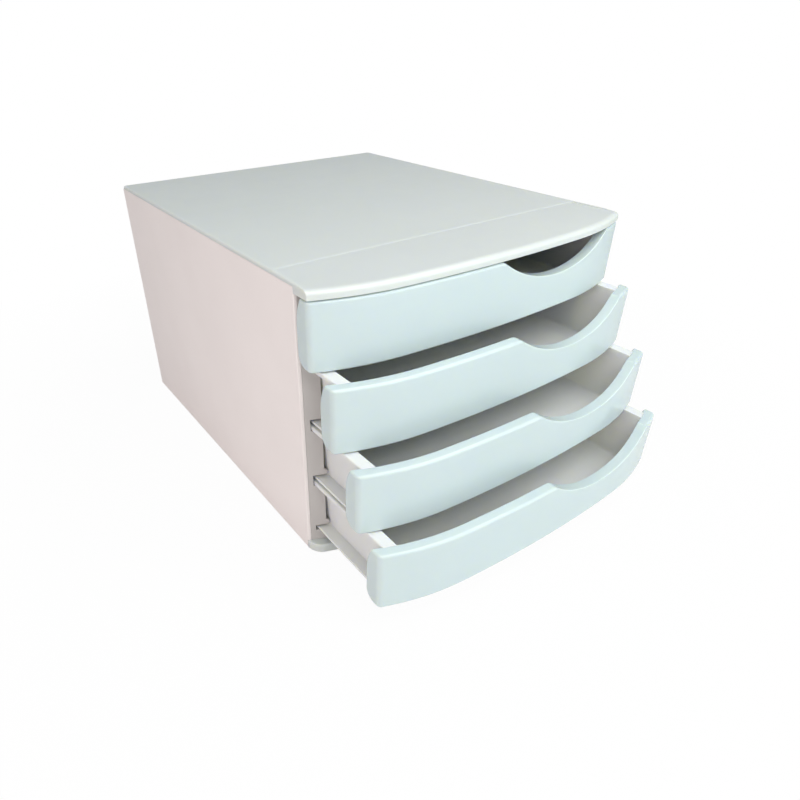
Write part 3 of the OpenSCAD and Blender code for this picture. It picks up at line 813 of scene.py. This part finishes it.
def repeated(name, shape, places, material, turn, seed):
    """One piece that holds a copy of the shape at each place, and uses the shape up."""
    data = bpy.data.meshes.new(name)
    data.from_pydata(places, [], [])
    group = bpy.data.objects.new(name, data)
    bpy.context.scene.collection.objects.link(group)
    step = group.modifiers.new("repeat", "NODES")
    step.node_group = repeat_at_points
    set_inputs(step, {"Shape": shape, "Size": 1.0, "Turn spread": turn, "Seed": seed, "Finish": material})
    settle(group)
    group.data.name = name
    bpy.data.objects.remove(shape)
    return smooth(group)


def turned(name, profile, count=48):
    """A closed shape turned about the upright axis from a profile of (radius, height)."""
    mesh = bmesh.new()
    rings = []
    for radius, height in profile:
        if radius == 0:
            rings.append([mesh.verts.new((0, 0, height))])
        else:
            turns = [math.tau * i / count for i in range(count)]
            rings.append([mesh.verts.new((radius * math.cos(t), radius * math.sin(t), height))
                          for t in turns])
    for low, high in zip(rings, rings[1:]):
        for i in range(count):
            j = (i + 1) % count
            corners = [low[i % len(low)], low[j % len(low)], high[j % len(high)], high[i % len(high)]]
            mesh.faces.new(list(dict.fromkeys(corners)))
    bmesh.ops.recalc_face_normals(mesh, faces=mesh.faces)
    data = bpy.data.meshes.new(name)
    mesh.to_mesh(data)
    mesh.free()
    solid = bpy.data.objects.new(name, data)
    bpy.context.scene.collection.objects.link(solid)
    return solid


rubber_finish = plastic_finish(
    "foot_rubber",
    {"Colour": (0.06, 0.06, 0.06, 1.0), "Uneven": 0.5, "Roughness": 0.72, "Roughness change": 0.1,
     "Grain per metre": 2600.0, "Grain height": 1.0, "Wave height": 0.2, "Wear": 0.2}, bump=0.3)
groove = [(3.6, 0), (3.8, 0.35), (4.6, 0.35), (4.8, 0)]
soft_rim = arc((6.3, 0.7), 0.7, -90, 0, 3)
foot = turned("foot", [(0, 0)] + groove + soft_rim + [(7.0, 2.7), (6.7, 3.0), (0, 3.0)])
to_metres(foot)
foot_points = [(sx * 0.122, sy * 0.141, 0.0) for sx in (-1, 1) for sy in (-1, 1)]
feet = repeated("rubber_feet", foot, foot_points, rubber_finish, 0.0, 3)
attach(feet, "casing")
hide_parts("front_left_foot", "front_right_foot", "rear_left_foot", "rear_right_foot")

# Casing screws -------------------------------------------------------------------------------
# Four zinc-plated self-tapping screws, driven from below through the base into the runner
# frames, with pan heads and cross recesses.

screw_finish = bpy.data.materials.new("screw_zinc")
screw_finish.use_nodes = True
nodes, links = screw_finish.node_tree.nodes, screw_finish.node_tree.links
shader = nodes["Principled BSDF"]
where = nodes.new("ShaderNodeTexCoord").outputs["Object"]
brushed = noise(screw_finish.node_tree, 900.0, 3.0, where, 0.6)
passivated = blend_colours(screw_finish.node_tree, remap(screw_finish.node_tree, brushed, 0.35, 0.7),
                           (0.60, 0.61, 0.62, 1.0), (0.44, 0.45, 0.47, 1.0))
links.new(passivated, shader.inputs["Base Color"])
links.new(remap(screw_finish.node_tree, brushed, 0.3, 0.7, 0.22, 0.42), shader.inputs["Roughness"])
shader.inputs["Metallic"].default_value = 1.0
scratch = nodes.new("ShaderNodeBump")
scratch.inputs["Strength"].default_value, scratch.inputs["Distance"].default_value = 0.2, 0.0001
links.new(brushed, scratch.inputs["Height"])
links.new(scratch.outputs["Normal"], shader.inputs["Normal"])

core, thread, pitch = 1.15, 1.48, 1.0
profile = [(0, 0.0), (1.6, 0.0), (2.5, 0.25), (2.95, 0.8), (3.0, 1.5), (2.9, 2.0), (core, 2.0)]
z = 2.2
while z < 10.4:
    profile += [(core, z), (thread, z + 0.45), (core, z + 0.9)]
    z += pitch
profile += [(0.9, 10.9), (0, 11.5)]
screw = turned("screw", profile, 32)
cross = [(0.5, 0.5), (0.5, 1.5), (-0.5, 1.5), (-0.5, 0.5), (-1.5, 0.5), (-1.5, -0.5),
         (-0.5, -0.5), (-0.5, -1.5), (0.5, -1.5), (0.5, -0.5), (1.5, -0.5), (1.5, 0.5)]
cut_away(screw, prism("recess", cross, -1, 1.0))
to_metres(screw)
screw_points = [(sx * 0.1398, sy * 0.135, 0.0044) for sx in (-1, 1) for sy in (-1, 1)]
screws = repeated("base_screws", screw, screw_points, screw_finish, 1.5, 11)
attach(screws, "casing")
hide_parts("casing_screws")

# Studio --------------------------------------------------------------------------------------
# A plain white floor that runs out of view, large soft lamps, and the camera where the
# photograph was taken: in front, to the left and above.


def seen_directly(nodes, links):
    """1 for what the camera sees itself or through something clear, 0 for all other light."""
    ray = nodes.new("ShaderNodeLightPath")
    either = nodes.new("ShaderNodeMath")
    either.operation = "MAXIMUM"
    links.new(ray.outputs["Is Camera Ray"], either.inputs[0])
    links.new(ray.outputs["Is Transmission Ray"], either.inputs[1])
    return either.outputs[0]


size = 4.0
data = bpy.data.meshes.new("floor")
data.from_pydata([(-size, -size, 0), (size, -size, 0), (size, size, 0), (-size, size, 0)], [], [(0, 1, 2, 3)])
floor = bpy.data.objects.new("floor", data)
bpy.context.scene.collection.objects.link(floor)
paper = bpy.data.materials.new("floor_paper")
paper.use_nodes = True
nodes, links = paper.node_tree.nodes, paper.node_tree.links
shader = nodes["Principled BSDF"]
shader.inputs["Base Color"].default_value = (0.75, 0.75, 0.75, 1.0)
shader.inputs["Roughness"].default_value = 0.9
shader.inputs["Specular IOR Level"].default_value = 0.1
glow = nodes.new("ShaderNodeEmission")
glow.inputs["Strength"].default_value = 1.0
seen = seen_directly(nodes, links)
where = nodes.new("ShaderNodeTexCoord").outputs["Object"]
far = nodes.new("ShaderNodeVectorMath")
far.operation = "LENGTH"
links.new(where, far.inputs[0])
share = nodes.new("ShaderNodeMath")
share.operation = "MULTIPLY"
links.new(seen, share.inputs[0])
# near the part a little of the floor's own light stays, so that it keeps the shadow
links.new(remap(paper.node_tree, far.outputs["Value"], 0.25, 0.6, 0.965, 1.0), share.inputs[1])
mixed = nodes.new("ShaderNodeMixShader")
links.new(share.outputs[0], mixed.inputs["Fac"])
links.new(shader.outputs[0], mixed.inputs[1])
links.new(glow.outputs[0], mixed.inputs[2])
links.new(mixed.outputs[0], nodes["Material Output"].inputs["Surface"])
floor.data.materials.append(paper)

world = bpy.data.worlds.new("studio")
bpy.context.scene.world = world
world.use_nodes = True
nodes, links = world.node_tree.nodes, world.node_tree.links
soft = nodes["Background"]
soft.inputs["Color"].default_value = (0.95, 0.98, 1.0, 1.0)
soft.inputs["Strength"].default_value = 0.40
white = nodes.new("ShaderNodeBackground")
white.inputs["Strength"].default_value = 1.0
white.inputs["Color"].default_value = (1.0, 1.0, 1.0, 1.0)
pick = nodes.new("ShaderNodeMixShader")
links.new(seen_directly(nodes, links), pick.inputs["Fac"])
links.new(soft.outputs[0], pick.inputs[1])
links.new(white.outputs[0], pick.inputs[2])
links.new(pick.outputs[0], nodes["World Output"].inputs["Surface"])


def lamp(name, place, target, width, height, power, colour):
    """A soft lamp of a width and a height, turned to its target."""
    light = bpy.data.lights.new(name, "AREA")
    light.shape, light.size, light.size_y = "RECTANGLE", width, height
    light.energy, light.color = power, colour
    holder = bpy.data.objects.new(name, light)
    holder.location = place
    holder.rotation_euler = (Vector(target) - Vector(place)).to_track_quat("-Z", "Y").to_euler()
    bpy.context.scene.collection.objects.link(holder)


lamp("front_softbox", (0.6, -1.4, 0.28), (0.0, -0.1, 0.1), 1.3, 0.56, 4.0, (0.85, 0.99, 0.99))
lamp("left_softbox", (-1.5, -0.6, 0.32), (-0.1, 0.0, 0.1), 0.9, 0.6, 7.4, (1.0, 0.84, 0.80))
lamp("overhead_softbox", (0.1, -0.7, 1.05), (0.0, -0.25, 0.1), 1.3, 0.9, 12.4, (1.0, 1.0, 0.98))

view = bpy.data.cameras.new("photo_view")
view.sensor_width, view.lens = 36.0, 27.5
view.shift_x, view.shift_y = 0.066, 0.0258
camera = bpy.data.objects.new("photo_view", view)
# the turn about one axis that the photograph's lines of sight give
turn = Vector((2.067, -0.647, 0.335))
turn = Matrix.Rotation(turn.length, 3, turn.normalized()).transposed() @ Matrix.Diagonal((1, -1, -1))
camera.matrix_world = Matrix.Translation((-0.3184, -0.4742, 0.3498)) @ turn.to_4x4()
bpy.context.scene.collection.objects.link(camera)
bpy.context.scene.camera = camera
bpy.context.scene.view_settings.view_transform = "Standard"

bpy.context.view_layer.update()
